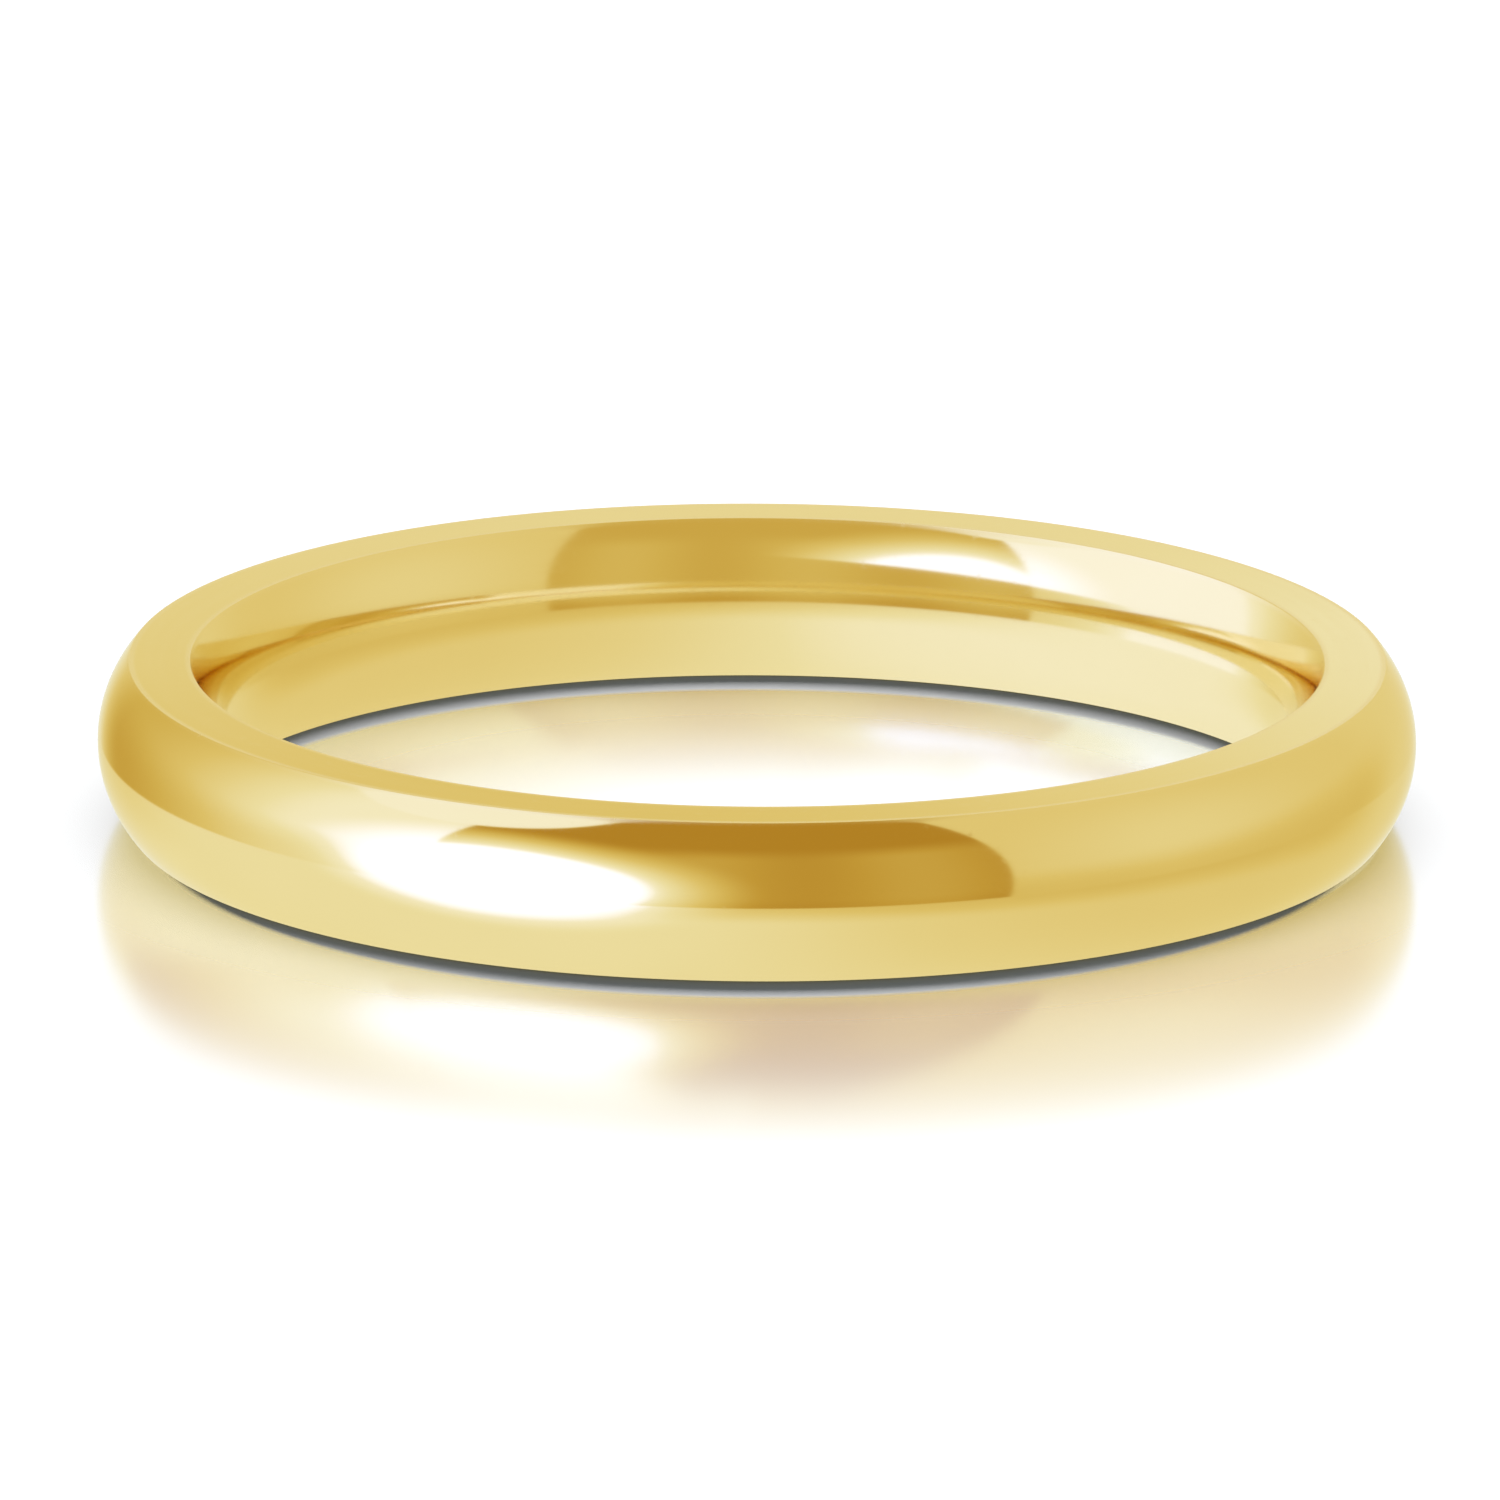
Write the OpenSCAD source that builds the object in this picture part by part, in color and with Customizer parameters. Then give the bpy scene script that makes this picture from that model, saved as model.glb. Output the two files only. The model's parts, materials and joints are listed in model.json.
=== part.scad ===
// Plain wedding band with a court profile: a domed outside, a gently rounded comfort-fit inside
// and a narrow flat side on each edge. It is one seamless ring of metal, lying flat on one side.
// The origin is the centre of the finger hole at mid-width, and +Z is the finger's axis.

/* [Finger size] */
// Inside diameter at the narrowest point, which is the finger size (16.51 is US size 6)
finger_d = 16.51; // [13:0.01:23]

/* [Band] */
// Width of the band along the finger, from one flat side to the other
band_w = 2.5; // [2:0.1:8]
// Thickness of the metal at mid-width, from the finger to the crown of the dome
band_t = 1.8; // [1.4:0.05:2.6]

/* [Profile] */
// How far the domed outside rises above the outer edge of the flat sides
dome_rise = 0.49; // [0.2:0.01:0.6]
// How far the rounded inside swells towards the finger, past the inner edge of the flat sides
comfort_rise = 0.39; // [0.1:0.01:0.45]
// Width of the straight cylindrical land at the narrowest point of the inside
land_w = 0.2; // [0.1:0.05:0.4]

/* [Hidden] */

yellow_gold = [0.87, 0.72, 0.38];
arc_steps = 180;

half_w = band_w / 2;
land_r = finger_d / 2;
crown_r = land_r + band_t;

// Distance from a crown's highest line to the centre of its arc. The arc springs from the edges of the
// band's two flat sides, rises by rise, and stops at a straight land of width flat if it has one.
function crown_reach(rise, flat = 0) = (half_w^2 + rise^2 - (flat / 2)^2) / (2 * rise);

dome_reach = crown_reach(dome_rise);
dome_arc_r = dome_reach;
comfort_reach = crown_reach(comfort_rise, land_w);
comfort_arc_r = sqrt(comfort_reach^2 + (land_w / 2)^2);

// All the metal that a crown allows, with the crown facing +X and its arc centred on the origin
module under_crown(arc_r) {
    circle(r = arc_r, $fn = arc_steps);
    translate([-band_t, -band_w]) square([band_t, 2 * band_w]);
}

// The cross-section: a strip as wide as the band, rounded outside by the dome's arc and inside by
// the comfort arc. The strip starts at the land, and is longer than the dome can reach.
module cross_section() {
    intersection() {
        translate([land_r, -half_w]) square([2 * band_t, band_w]);
        translate([crown_r - dome_reach, 0]) under_crown(dome_arc_r);
        translate([land_r + comfort_reach, 0]) mirror([1, 0]) under_crown(comfort_arc_r);
    }
}

// The whole ring, its cross-section turned once round the finger's axis
module band() {
    color(yellow_gold) rotate_extrude($fn = arc_steps) cross_section();
}

band();
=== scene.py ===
"""Plain court-profile wedding band in polished yellow gold, lying flat on a glossy white floor.

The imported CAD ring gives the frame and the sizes. A fine lathe-turned mesh with broken edges stands for it,
because a mirror polish shows every facet. Everything else here is the gold, the studio that it reflects and
the camera.
"""

import json
import math

import bpy
from mathutils import Matrix, Vector


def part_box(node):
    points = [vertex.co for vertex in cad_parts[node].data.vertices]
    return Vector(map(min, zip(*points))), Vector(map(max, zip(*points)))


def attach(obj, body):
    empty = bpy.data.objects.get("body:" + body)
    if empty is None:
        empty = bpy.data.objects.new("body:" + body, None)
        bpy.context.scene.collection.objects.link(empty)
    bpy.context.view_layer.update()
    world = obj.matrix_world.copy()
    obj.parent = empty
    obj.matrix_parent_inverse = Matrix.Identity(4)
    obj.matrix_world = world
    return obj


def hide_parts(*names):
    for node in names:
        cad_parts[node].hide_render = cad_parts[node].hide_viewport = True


MM = 0.001

# How the studio differs, in degrees, for the ring's image in the floor.
floor_turn = 37
floor_lamp_lift = 24.0

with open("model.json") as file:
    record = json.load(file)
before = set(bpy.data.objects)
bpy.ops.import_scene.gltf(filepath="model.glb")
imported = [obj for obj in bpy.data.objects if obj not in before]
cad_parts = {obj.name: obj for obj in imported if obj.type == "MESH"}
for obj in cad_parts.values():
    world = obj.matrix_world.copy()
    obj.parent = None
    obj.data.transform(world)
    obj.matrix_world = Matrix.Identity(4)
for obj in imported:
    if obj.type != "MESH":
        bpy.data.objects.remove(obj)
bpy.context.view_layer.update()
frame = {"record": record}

# ------------------------------------------------------------ the ring's sizes, in mm
band_low, band_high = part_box("band")
half_width = band_high[2] / MM
crown_radius = min(band_high[0], band_high[1], -band_low[0], -band_low[1]) / MM
mounts = {mount["name"]: mount for mount in frame["record"]["mounts"]}
land_radius = mounts["finger_bore"]["dims"]["r_mm"]
comfort_rise = 0.39
rim_width = 0.92
rim_inner_radius = land_radius + comfort_rise
rim_outer_radius = rim_inner_radius + rim_width
dome_rise = crown_radius - rim_outer_radius
rim_fall = 0.012
edge_radius = 0.014
steps_around = 384
dome_steps = 22
corner_steps = 5
rim_steps = 6
comfort_steps = 18


# ------------------------------------------------------------ small node helpers
def feed(tree, socket, value):
    """Joins a socket to another socket, or sets it to a plain value."""
    if isinstance(value, bpy.types.NodeSocket):
        tree.links.new(value, socket)
    else:
        socket.default_value = value


def math_node(tree, operation, *values):
    """One Math node. Returns its output."""
    node = tree.nodes.new("ShaderNodeMath")
    node.operation = operation
    for socket, value in zip(node.inputs, values):
        feed(tree, socket, value)
    return node.outputs[0]


def step(tree, value, start, end):
    """Rises smoothly from 0 at start to 1 at end."""
    node = tree.nodes.new("ShaderNodeMapRange")
    node.interpolation_type = "SMOOTHSTEP"
    feed(tree, node.inputs["Value"], value)
    node.inputs["From Min"].default_value = start
    node.inputs["From Max"].default_value = end
    return node.outputs["Result"]


def rescale(tree, value, low, high):
    """Maps 0..1 to low..high."""
    node = tree.nodes.new("ShaderNodeMapRange")
    feed(tree, node.inputs["Value"], value)
    node.inputs["To Min"].default_value = low
    node.inputs["To Max"].default_value = high
    return node.outputs["Result"]


def blend(tree, factor, first, second):
    """first where factor is 0, second where it is 1."""
    node = tree.nodes.new("ShaderNodeMix")
    feed(tree, node.inputs[0], factor)
    feed(tree, node.inputs[2], first)
    feed(tree, node.inputs[3], second)
    return node.outputs[0]


def blend_colour(tree, factor, first, second):
    """The same for colours."""
    node = tree.nodes.new("ShaderNodeMix")
    node.data_type = "RGBA"
    feed(tree, node.inputs[0], factor)
    feed(tree, node.inputs[6], first)
    feed(tree, node.inputs[7], second)
    return node.outputs[2]


def tint(tree, first, second):
    """Two colours multiplied together."""
    node = tree.nodes.new("ShaderNodeMix")
    node.data_type = "RGBA"
    node.blend_type = "MULTIPLY"
    node.inputs[0].default_value = 1.0
    feed(tree, node.inputs[6], first)
    feed(tree, node.inputs[7], second)
    return node.outputs[2]


def noise(tree, place, scale, detail):
    """Smooth noise between 0 and 1."""
    node = tree.nodes.new("ShaderNodeTexNoise")
    tree.links.new(place, node.inputs["Vector"])
    node.inputs["Scale"].default_value = scale
    node.inputs["Detail"].default_value = detail
    return node.outputs[0]


def near_circle(tree, out, side, radius, height):
    """1 on a circle round the ring's axis, falling to 0 a tenth of a millimetre from it."""
    outwards = math_node(tree, "SUBTRACT", out, radius)
    upwards = math_node(tree, "SUBTRACT", side, height)
    squares = math_node(tree, "ADD", product(tree, outwards, outwards), product(tree, upwards, upwards))
    return step(tree, math_node(tree, "SQRT", squares), 0.11, 0.02)


def product(tree, *values):
    """All the values multiplied together."""
    result = values[0]
    for value in values[1:]:
        result = math_node(tree, "MULTIPLY", result, value)
    return result


# ------------------------------------------------------------ the ring's mesh
def arc(centre, radius, start, end, steps):
    """Points and outward normals along an arc of the cross-section, angles in degrees."""
    made = []
    for i in range(steps + 1):
        angle = math.radians(start + (end - start) * i / steps)
        normal = (math.cos(angle), math.sin(angle))
        made.append(((centre[0] + radius * normal[0], centre[1] + radius * normal[1]), normal))
    return made


def crown_arc(rise):
    """Radius of the arc that rises by rise over a chord of the band's width."""
    return (half_width**2 + rise**2) / (2 * rise)


def cross_section():
    """(point, normal) pairs once round the section, in mm, as (distance from the axis, height).

    The rim is a flat 0.92 mm wide that falls slightly outwards, as it does when it is polished on a wheel. It
    ends in small rounded corners that touch it, the dome and the comfort-fit inside without a crease.
    """
    dome_r = crown_arc(dome_rise)
    dome_centre = crown_radius - dome_r
    comfort_r = crown_arc(comfort_rise)
    comfort_centre = land_radius + comfort_r
    inner_z = half_width - edge_radius
    outer_z = inner_z - rim_fall
    outer_reach = math.sqrt((dome_r - edge_radius) ** 2 - outer_z**2)
    inner_reach = math.sqrt((comfort_r - edge_radius) ** 2 - inner_z**2)
    dome_angle = math.degrees(math.atan2(outer_z, outer_reach))
    comfort_angle = math.degrees(math.atan2(inner_z, inner_reach))
    outer_corner = (dome_centre + outer_reach, outer_z)
    inner_corner = (comfort_centre - inner_reach, inner_z)
    tilt = math.degrees(math.atan2(inner_z - outer_z, outer_corner[0] - inner_corner[0]))
    upper = arc((dome_centre, 0), dome_r, 0, dome_angle, dome_steps)
    upper += arc(outer_corner, edge_radius, dome_angle, 90 - tilt, corner_steps)[1:]
    rim_start = upper[-1]
    inner_turn = arc(inner_corner, edge_radius, 90 - tilt, 180 - comfort_angle, corner_steps)
    for i in range(1, rim_steps):
        share = i / rim_steps
        across, height = [a + (b - a) * share for a, b in zip(rim_start[0], inner_turn[0][0])]
        upper.append(((across, height), rim_start[1]))
    upper += inner_turn
    upper += arc((comfort_centre, 0), comfort_r, 180 - comfort_angle, 180, comfort_steps)[1:]
    lower = [((r, -z), (out, -up)) for (r, z), (out, up) in reversed(upper[1:-1])]
    return upper + lower


def make_ring():
    """Turns the cross-section round the finger's axis into a closed quad mesh with exact normals."""
    section = cross_section()
    points, normals, faces = [], [], []
    for i in range(steps_around):
        turn = 2 * math.pi * i / steps_around
        c, s = math.cos(turn), math.sin(turn)
        for (radius, height), (out, up) in section:
            points.append((radius * c * MM, radius * s * MM, height * MM))
            normals.append((out * c, out * s, up))
    count = len(section)
    for i in range(steps_around):
        here, there = i * count, (i + 1) % steps_around * count
        for j in range(count):
            k = (j + 1) % count
            faces.append((here + j, there + j, there + k, here + k))
    mesh = bpy.data.meshes.new("gold_band")
    mesh.from_pydata(points, [], faces)
    mesh.polygons.foreach_set("use_smooth", [True] * len(faces))
    mesh.normals_split_custom_set_from_vertices(normals)
    mesh.validate()
    ring = bpy.data.objects.new("gold_band", mesh)
    bpy.context.scene.collection.objects.link(ring)
    return ring


# ------------------------------------------------------------ the gold
def polished_gold():
    """Mirror-polished yellow gold: faint polishing lines round the band, softer inside, burnished corners."""
    material = bpy.data.materials.new("polished_yellow_gold")
    material.use_nodes = True
    tree = material.node_tree
    shader = tree.nodes["Principled BSDF"]
    shader.inputs["Metallic"].default_value = 1.0
    shader.inputs["Specular Tint"].default_value = (0.96, 0.90, 0.70, 1)

    # Place on the ring in mm: along the finger, and out from its axis.
    place = tree.nodes.new("ShaderNodeVectorMath")
    place.operation = "SCALE"
    tree.links.new(tree.nodes.new("ShaderNodeTexCoord").outputs["Object"], place.inputs[0])
    place.inputs["Scale"].default_value = 1000.0
    split = tree.nodes.new("ShaderNodeSeparateXYZ")
    tree.links.new(place.outputs[0], split.inputs[0])
    x, y, along = split.outputs
    out = math_node(tree, "SQRT", math_node(tree, "ADD", product(tree, x, x), product(tree, y, y)))
    side = math_node(tree, "ABSOLUTE", along)

    # Lines left by the polishing wheel run round the band: long along it, fine across it.
    across = math_node(tree, "ADD", along, product(tree, out, 0.6))
    stretched = tree.nodes.new("ShaderNodeCombineXYZ")
    for socket, value, scale in zip(stretched.inputs, (x, y, across), (0.16, 0.16, 9.0)):
        feed(tree, socket, product(tree, value, scale))
    lines = noise(tree, stretched.outputs[0], 1.0, 3.0)
    clouds = noise(tree, place.outputs[0], 0.45, 2.0)
    specks = noise(tree, place.outputs[0], 7.0, 2.0)

    # Where fingers and other rings rub: the four corners, and the finger hole's own softer polish.
    corner_outside = near_circle(tree, out, side, rim_outer_radius, half_width)
    corner_inside = near_circle(tree, out, side, rim_inner_radius, half_width)
    corners = math_node(tree, "MAXIMUM", corner_outside, corner_inside)
    hole = step(tree, out, rim_inner_radius, rim_inner_radius - 0.12)

    warm = blend_colour(tree, clouds, (0.872, 0.690, 0.308, 1), (0.848, 0.668, 0.288, 1))
    burnished = blend_colour(tree, product(tree, corners, 0.2), warm, (0.885, 0.725, 0.375, 1))
    tree.links.new(burnished, shader.inputs["Base Color"])

    roughness = rescale(tree, lines, 0.025, 0.105)
    roughness = math_node(tree, "ADD", roughness, product(tree, step(tree, specks, 0.60, 0.78), 0.05))
    roughness = math_node(tree, "ADD", roughness, product(tree, hole, 0.03))
    roughness = math_node(tree, "ADD", roughness, product(tree, corners, 0.16))
    tree.links.new(roughness, shader.inputs["Roughness"])

    bump = tree.nodes.new("ShaderNodeBump")
    bump.inputs["Strength"].default_value = 0.5
    bump.inputs["Distance"].default_value = 0.00012 * MM
    tree.links.new(lines, bump.inputs["Height"])
    tree.links.new(bump.outputs[0], shader.inputs["Normal"])
    return material


# ------------------------------------------------------------ the studio
def inside(tree, value, low, high, soft):
    """1 where value lies between low and high, with edges that are soft degrees wide."""
    rising = step(tree, value, low - soft / 2, low + soft / 2)
    falling = step(tree, value, high + soft / 2, high - soft / 2)
    return product(tree, rising, falling)


def distance_from(tree, azimuth, elevation, centre, left, right, tall):
    """How far a direction is from centre, in units of an oval's half sizes: it is 1 on the oval's outline."""
    across = math_node(tree, "SUBTRACT", azimuth, centre[0])
    leftwards = math_node(tree, "DIVIDE", math_node(tree, "MINIMUM", across, 0.0), left)
    rightwards = math_node(tree, "DIVIDE", math_node(tree, "MAXIMUM", across, 0.0), right)
    upwards = math_node(tree, "DIVIDE", math_node(tree, "SUBTRACT", elevation, centre[1]), tall)
    parts = (leftwards, rightwards, upwards)
    squares = [math_node(tree, "POWER", math_node(tree, "ABSOLUTE", part), 2.0) for part in parts]
    return math_node(tree, "SQRT", math_node(tree, "ADD", math_node(tree, "ADD", *squares[:2]), squares[2]))


def oval(tree, azimuth, elevation, centre, left, right, tall, soft):
    """1 within an oval round centre, falling to 0 across an edge that is a share, soft, of its size."""
    reach = distance_from(tree, azimuth, elevation, centre, left, right, tall)
    return step(tree, reach, 1 + soft / 2, 1 - soft / 2)


def studio_tone(tree, azimuth, elevation, x, from_hole, off_floor):
    """How light the studio is in each direction, from 0 for a dark warm card to 1 for a white lamp.

    Angles are in degrees: azimuth 0 is straight in front of the ring and elevation 0 is the horizon.
    from_hole is 1 for reflections out of the finger hole, and off_floor is 1 for those that the floor sent
    on. Both see parts of the studio differently.
    """
    # The walls: a pale one on the left that darkens towards the back, a plain one on the right.
    pale = step(tree, azimuth, -148, -84)
    left_wall = rescale(tree, pale, 0.40, 0.95)
    left_wall = math_node(tree, "SUBTRACT", left_wall, product(tree, step(tree, elevation, 12, -8), 0.14))
    # Painted shade: for reflections out of the finger hole, the lamp and part of the left wall are cut off
    # below a slanting line. It stands in for the shadow of the ring's own front edge.
    painted_shade_line = math_node(tree, "ADD", product(tree, azimuth, 0.215), 24.0)
    clear_of_painted_shade = step(tree, math_node(tree, "SUBTRACT", elevation, painted_shade_line), -0.5, 0.7)
    hole_wall = rescale(tree, step(tree, azimuth, -152, -120), 0.66, 0.965)
    in_painted_shade = math_node(tree, "SUBTRACT", 1.0, clear_of_painted_shade)
    # Painted shade: the left wall seen from the hole is darker below the slanting line.
    painted_wall_shade = product(tree, in_painted_shade, step(tree, azimuth, -88, -61), 0.20)
    hole_wall = math_node(tree, "SUBTRACT", hole_wall, painted_wall_shade)
    left_wall = blend(tree, from_hole, left_wall, hole_wall)
    right_wall = rescale(tree, step(tree, elevation, 10, -11), 0.65, 0.52)
    glow = product(tree, oval(tree, azimuth, elevation, (80, 14), 22, 22, 22, 1.8), 0.10)
    right_wall = math_node(tree, "ADD", right_wall, glow)
    right_wall = blend(tree, step(tree, azimuth, 127, 150), right_wall, 0.71)
    walls = blend(tree, step(tree, azimuth, -20, 20), left_wall, right_wall)
    # Behind the ring the studio is light low down and darker above.
    back_wall = rescale(tree, step(tree, elevation, 10, 19.5), 0.87, 0.50)
    back_wall = blend(tree, step(tree, elevation, -2, 9), 0.76, back_wall)
    to_the_right = product(tree, step(tree, x, -0.004, 0.03), step(tree, elevation, 12.6, 14.4), 0.32)
    to_the_left = product(tree, step(tree, x, -0.014, -0.024), step(tree, elevation, 9, 12), 0.10)
    back_wall = math_node(tree, "ADD", back_wall, math_node(tree, "ADD", to_the_left, to_the_right))
    away = math_node(tree, "ADD", step(tree, azimuth, 160, 176), step(tree, azimuth, -148, -170))
    away = product(tree, away, math_node(tree, "SUBTRACT", 1.0, from_hole))
    walls = blend(tree, away, walls, back_wall)
    # A tall dark card stands in front, with a rounded pale card across its upper left corner.
    swing = math_node(tree, "RADIANS", product(tree, math_node(tree, "SUBTRACT", azimuth, 29.0), 9.0))
    stripes = product(tree, math_node(tree, "COSINE", swing), 0.06)
    card = math_node(tree, "ADD", stripes, blend(tree, from_hole, 0.20, 0.38))
    low_card = step(tree, elevation, -5, -13)
    card = math_node(tree, "SUBTRACT", card, product(tree, low_card, blend(tree, from_hole, 0.04, 0.14)))
    card_top = blend(tree, from_hole, 0.04, 0.31)
    card = blend(tree, step(tree, elevation, 30, 43), card, card_top)
    walls = blend(tree, inside(tree, azimuth, -60, 45, 1.0), walls, card)
    walls = blend(tree, oval(tree, azimuth, elevation, (-75, 66), 37, 37, 27, 0.05), walls, 0.955)
    # Overhead hangs a light panel, dimmer on the right.
    panel = rescale(tree, step(tree, x, -0.035, 0.035), 0.90, 0.60)
    walls = blend(tree, step(tree, elevation, 70, 82), walls, panel)
    # Below the horizon lies a pale table, shaded on the right.
    near = rescale(tree, step(tree, azimuth, -80, 50), 0.86, 0.50)
    near = blend(tree, step(tree, math_node(tree, "ABSOLUTE", azimuth), 115, 150), near, 0.74)
    deep = rescale(tree, step(tree, x, -0.35, 0.95), 0.86, 0.67)
    table = blend(tree, step(tree, elevation, -13, -30), near, deep)
    lift = product(tree, from_hole, step(tree, x, 0.5, -0.7), 0.09)
    table = math_node(tree, "ADD", table, lift)
    horizon = step(tree, elevation, -13.2, -13.9)
    tone = blend(tree, horizon, walls, table)
    # The lamp is a big soft one on the left. The floor's image of the ring shows it higher up in the studio.
    lamp_height = math_node(tree, "SUBTRACT", elevation, product(tree, off_floor, floor_lamp_lift))
    lamp = oval(tree, azimuth, lamp_height, (-46.5, -1), 34, 37.5, 36, 0.62)
    # The lamp seen from the hole, cut off below the painted shade line.
    streak = product(tree, oval(tree, azimuth, elevation, (-42, 6), 30, 35, 32, 0.75), clear_of_painted_shade)
    lamp = blend(tree, from_hole, lamp, streak)
    return blend(tree, lamp, tone, 1.0)


def make_world():
    """White to the camera and for the soft light; for reflections, the warm cards and the lamp of a studio.

    The see-through sheets tell reflected rays apart. Each end of the finger hole has one sheet and the floor
    has three, so a ray from inside the hole has passed a number that 3 doesn't divide. A ray that has been in
    the floor has passed three more than its own way out takes, and sees plain white unless it met the ring.
    """
    world = bpy.data.worlds.new("studio")
    bpy.context.scene.world = world
    world.use_nodes = True
    world.cycles.sampling_method = "NONE"
    tree = world.node_tree
    tree.nodes.clear()
    rays = tree.nodes.new("ShaderNodeLightPath").outputs
    sheets = rays["Transparent Depth"]
    from_hole = math_node(tree, "GREATER_THAN", math_node(tree, "MODULO", sheets, 3.0), 0.5)
    direction = tree.nodes.new("ShaderNodeTexCoord").outputs["Generated"]
    unturned = tree.nodes.new("ShaderNodeSeparateXYZ")
    tree.links.new(direction, unturned.inputs[0])
    downwards = math_node(tree, "LESS_THAN", unturned.outputs[2], 0.0)
    before = math_node(tree, "SUBTRACT", sheets, product(tree, downwards, 3.0))
    off_floor = math_node(tree, "GREATER_THAN", before, 2.5)

    # The studio is turned for the ring's image in the floor, which then shows the front card and the lamp.
    turned = tree.nodes.new("ShaderNodeVectorRotate")
    turned.rotation_type = "X_AXIS"
    tree.links.new(direction, turned.inputs["Vector"])
    feed(tree, turned.inputs["Angle"], product(tree, off_floor, math.radians(-floor_turn)))
    split = tree.nodes.new("ShaderNodeSeparateXYZ")
    tree.links.new(turned.outputs[0], split.inputs[0])
    x, y, z = split.outputs
    towards_front = math_node(tree, "MULTIPLY", y, -1.0)
    azimuth = math_node(tree, "DEGREES", math_node(tree, "ARCTAN2", x, towards_front))
    elevation = math_node(tree, "DEGREES", math_node(tree, "ARCSINE", z))
    from_floor = product(tree, off_floor, math_node(tree, "LESS_THAN", rays["Glossy Depth"], 1.5))
    tone = studio_tone(tree, azimuth, elevation, x, from_hole, off_floor)
    ramp = tree.nodes.new("ShaderNodeValToRGB")
    tree.links.new(tone, ramp.inputs[0])
    stops = [
        (0.00, (0.486, 0.287, 0.043)),
        (0.20, (0.627, 0.455, 0.123)),
        (0.40, (0.742, 0.622, 0.260)),
        (0.60, (0.841, 0.775, 0.460)),
        (0.75, (0.909, 0.916, 0.770)),
        (0.88, (0.977, 1.063, 1.173)),
        (0.95, (1.05, 1.19, 1.68)),
        (1.00, (1.30, 1.60, 3.60)),
    ]
    elements = ramp.color_ramp.elements
    while len(elements) < len(stops):
        elements.new(0.5)
    for element, (place, colour) in zip(elements, stops):
        element.position = place
        element.color = (*colour, 1)
    # Gold that mirrors gold would come out too deep, so the second mirroring is given back a part of it.
    second = product(tree, from_hole, math_node(tree, "GREATER_THAN", rays["Glossy Depth"], 1.5))
    studio = blend_colour(tree, second, (1, 1, 1, 1), (1.05, 1.17, 1.55, 1))
    studio = tint(tree, ramp.outputs[0], studio)
    mirrored = product(tree, rays["Is Glossy Ray"], math_node(tree, "SUBTRACT", 1.0, from_floor))
    seen = blend_colour(tree, mirrored, (1, 1, 1, 1), studio)
    soft_light = (0.143, 0.170, 0.212, 1)
    seen = blend_colour(tree, math_node(tree, "GREATER_THAN", rays["Diffuse Depth"], 0.5), seen, soft_light)
    background = tree.nodes.new("ShaderNodeBackground")
    tree.links.new(seen, background.inputs["Color"])
    output = tree.nodes.new("ShaderNodeOutputWorld")
    tree.links.new(background.outputs[0], output.inputs["Surface"])


def flat_disc(name, radius, height):
    """A flat round sheet that faces up, in mm."""
    around = 96
    rim = [2 * math.pi * i / around for i in range(around)]
    points = [(radius * MM * math.cos(a), radius * MM * math.sin(a), height * MM) for a in rim]
    mesh = bpy.data.meshes.new(name)
    mesh.from_pydata(points, [], [tuple(range(around))])
    disc = bpy.data.objects.new(name, mesh)
    bpy.context.scene.collection.objects.link(disc)
    return disc


def make_sheets():
    """See-through sheets that mark reflected rays: one at each end of the hole and three on the floor."""
    clear = bpy.data.materials.new("clear_sheet")
    clear.use_nodes = True
    tree = clear.node_tree
    tree.nodes.clear()
    shader = tree.nodes.new("ShaderNodeBsdfTransparent")
    output = tree.nodes.new("ShaderNodeOutputMaterial")
    tree.links.new(shader.outputs[0], output.inputs["Surface"])
    sheets = [
        flat_disc("upper_hole_sheet", rim_inner_radius, half_width + 0.004),
        flat_disc("lower_hole_sheet", rim_inner_radius, -half_width - 0.004),
        flat_disc("floor_sheet_1", 450, -half_width - 0.008),
        flat_disc("floor_sheet_2", 450, -half_width - 0.012),
        flat_disc("floor_sheet_3", 450, -half_width - 0.016),
    ]
    for sheet in sheets:
        sheet.data.materials.append(clear)
        sheet.visible_camera = False
        sheet.visible_diffuse = False
        sheet.visible_shadow = False


def distance_on_floor(tree, place, forwards):
    """How far a place on the floor is from the ring's axis, moved forwards."""
    moved = tree.nodes.new("ShaderNodeVectorMath")
    moved.operation = "ADD"
    tree.links.new(place, moved.inputs[0])
    moved.inputs[1].default_value = (0, forwards, half_width * MM)
    length = tree.nodes.new("ShaderNodeVectorMath")
    length.operation = "LENGTH"
    tree.links.new(moved.outputs[0], length.inputs[0])
    return length.outputs["Value"]


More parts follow.
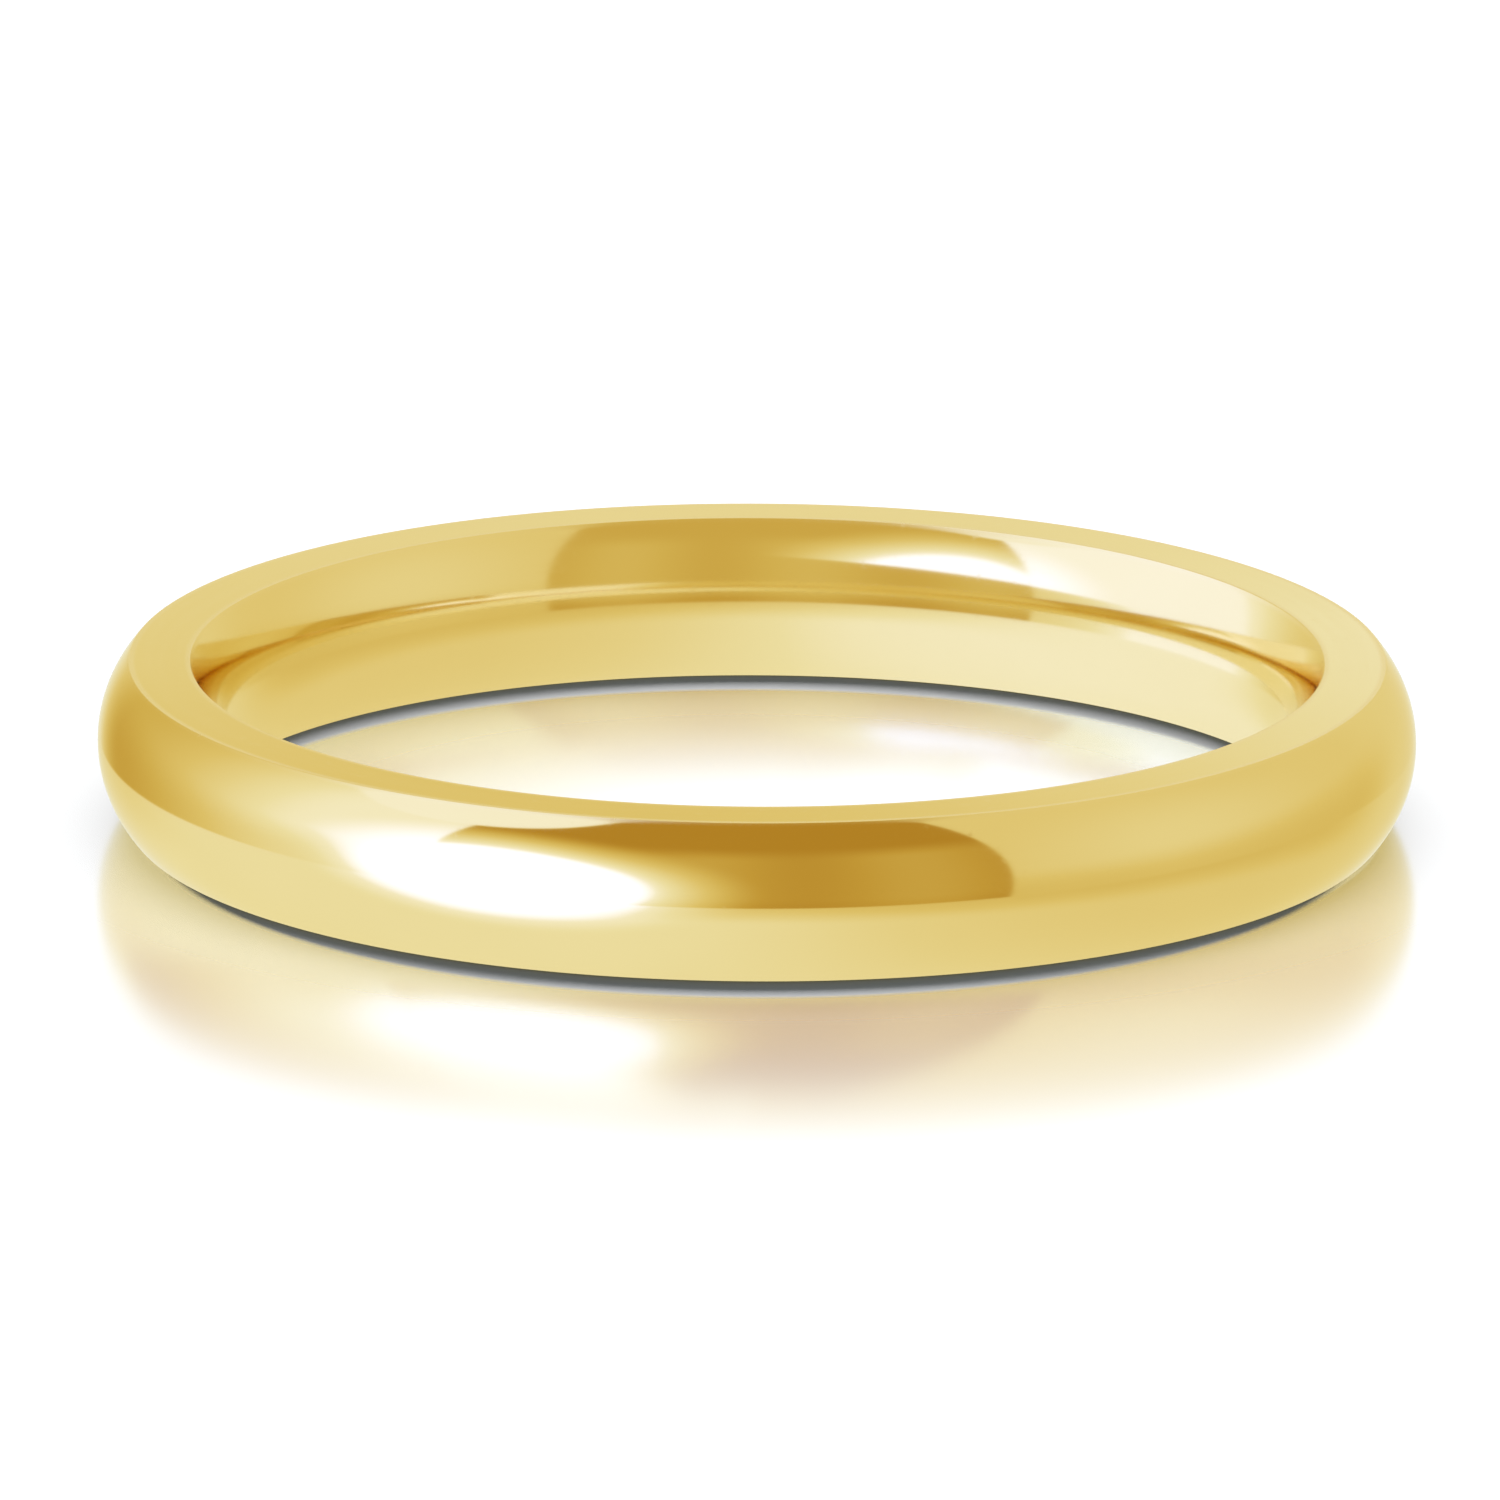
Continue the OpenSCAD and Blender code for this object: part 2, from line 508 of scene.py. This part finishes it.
def make_floor():
    """A plain white floor that mirrors the ring softly close to it."""
    floor = flat_disc("studio_floor", 500, -half_width - 0.022)
    floor.visible_glossy = False
    material = bpy.data.materials.new("white_floor")
    material.use_nodes = True
    tree = material.node_tree
    tree.nodes.clear()
    diffuse = tree.nodes.new("ShaderNodeBsdfDiffuse")
    diffuse.inputs["Color"].default_value = (0.97, 0.97, 0.97, 1)
    gloss = tree.nodes.new("ShaderNodeBsdfGlossy")
    gloss.inputs["Color"].default_value = (1.0, 1.0, 1.0, 1)
    gloss.inputs["Roughness"].default_value = 0.16
    # The lamp stands behind, so the foot's shadow falls forwards. The mirroring starts where it ends.
    shadow_length = 0.78 * MM
    sideways_bend = 4.4
    mirror_strength = 1.36
    on_floor = tree.nodes.new("ShaderNodeTexCoord").outputs["Object"]
    from_axis = distance_on_floor(tree, on_floor, 0)
    from_shadow = distance_on_floor(tree, on_floor, shadow_length)
    sideways = tree.nodes.new("ShaderNodeSeparateXYZ")
    tree.links.new(on_floor, sideways.inputs[0])
    squared = product(tree, sideways.outputs[0], sideways.outputs[0], sideways_bend)
    fading_sideways = math_node(tree, "ADD", from_shadow, squared)
    foot_outside, foot_inside = rim_outer_radius * MM, rim_inner_radius * MM
    foot_middle = (foot_outside + foot_inside) / 2
    around_it = product(
        tree,
        math_node(tree, "GREATER_THAN", from_axis, foot_middle),
        step(tree, fading_sideways, foot_outside - 0.07 * MM, foot_outside + 0.13 * MM),
        step(tree, from_shadow, foot_outside + 16.0 * MM, foot_outside + 1.0 * MM),
    )
    within_it = product(
        tree,
        math_node(tree, "LESS_THAN", from_axis, foot_middle),
        step(tree, from_shadow, foot_inside + 0.10 * MM, foot_inside - 0.08 * MM),
        step(tree, from_shadow, 0.5 * MM, foot_inside - 1.0 * MM),
    )
    close = math_node(tree, "ADD", around_it, within_it)
    facing = tree.nodes.new("ShaderNodeLayerWeight").outputs["Facing"]
    slant = math_node(tree, "POWER", facing, 2.0)
    share = product(tree, slant, close, mirror_strength)
    mix = tree.nodes.new("ShaderNodeMixShader")
    tree.links.new(share, mix.inputs[0])
    tree.links.new(diffuse.outputs[0], mix.inputs[1])
    tree.links.new(gloss.outputs[0], mix.inputs[2])
    output = tree.nodes.new("ShaderNodeOutputMaterial")
    tree.links.new(mix.outputs[0], output.inputs["Surface"])
    floor.data.materials.append(material)


def make_softbox():
    """A wide lamp above and behind. It lights the floor and lays a soft shadow just in front of the ring."""
    behind, above = 0.36, 1.17
    data = bpy.data.lights.new("softbox", "AREA")
    data.shape = "RECTANGLE"
    data.size, data.size_y = 1.30, 1.04
    data.energy = 22.0
    lamp = bpy.data.objects.new("softbox", data)
    bpy.context.scene.collection.objects.link(lamp)
    lamp.location = (0, behind, above)
    lamp.rotation_euler = (-math.atan2(behind, above), 0, 0)
    lamp.visible_glossy = False
    lamp.visible_camera = False


# ------------------------------------------------------------ the camera
def make_camera():
    """A long lens, so that the ring shows almost no perspective, 14.8 degrees above the floor."""
    elevation, roll = math.radians(14.80), math.radians(0.26)
    lens, sensor, frame_width = 1600.0, 36.0, 22.858 * MM
    distance = frame_width * lens / sensor
    right_of_aim, above_aim = 0.105 * MM, 0.148 * MM
    back = Vector((0, -math.cos(elevation), math.sin(elevation)))
    up = Vector((0, math.sin(elevation), math.cos(elevation)))
    data = bpy.data.cameras.new("camera")
    data.lens = lens
    data.sensor_width = sensor
    data.clip_start, data.clip_end = 0.01, 5.0
    camera = bpy.data.objects.new("camera", data)
    bpy.context.scene.collection.objects.link(camera)
    bpy.context.scene.camera = camera
    turn = Matrix.Rotation(math.pi / 2 - elevation, 4, "X") @ Matrix.Rotation(roll, 4, "Z")
    place = back * distance - up * above_aim - Vector((right_of_aim, 0, 0))
    camera.matrix_world = Matrix.Translation(place) @ turn


make_camera()
bpy.context.scene.view_settings.view_transform = "Standard"
bpy.context.scene.cycles.max_bounces = 16
bpy.context.scene.cycles.glossy_bounces = 14
bpy.context.scene.cycles.transparent_max_bounces = 32
ring = make_ring()
ring.data.materials.append(polished_gold())
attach(ring, "root")
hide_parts("band")
make_world()
make_floor()
make_sheets()
make_softbox()
